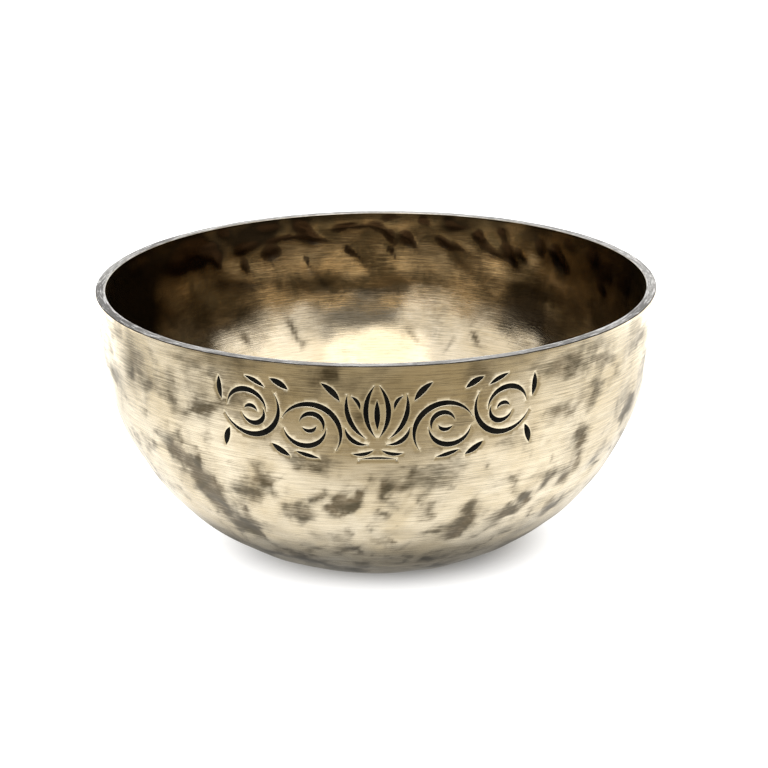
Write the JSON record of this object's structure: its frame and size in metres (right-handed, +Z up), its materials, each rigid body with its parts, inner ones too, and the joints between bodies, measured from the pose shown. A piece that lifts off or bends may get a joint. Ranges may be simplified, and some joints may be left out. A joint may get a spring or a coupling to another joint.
{
  "type": "singing bowl",
  "caption": "Hand-hammered bronze singing bowl with a flat ground lip, small flat base and a black-filled engraved scroll band on its front.",
  "frame": {"origin": "centre of the flat base, on the surface the bowl stands on", "axes": "+Z up the bowl's axis of revolution towards its open mouth; the engraved band faces -Y"},
  "size_m": [0.18, 0.18, 0.0909],
  "materials": {
    "hammered_bronze": "brushed, hammered, with dark patina in the hammer marks",
    "black_lacquer": "black lacquer, half matt"
  },
  "bodies": {
    "root": {"bowl": "hammered_bronze", "engraving_fill": "black_lacquer"}
  },
  "joints": []
}
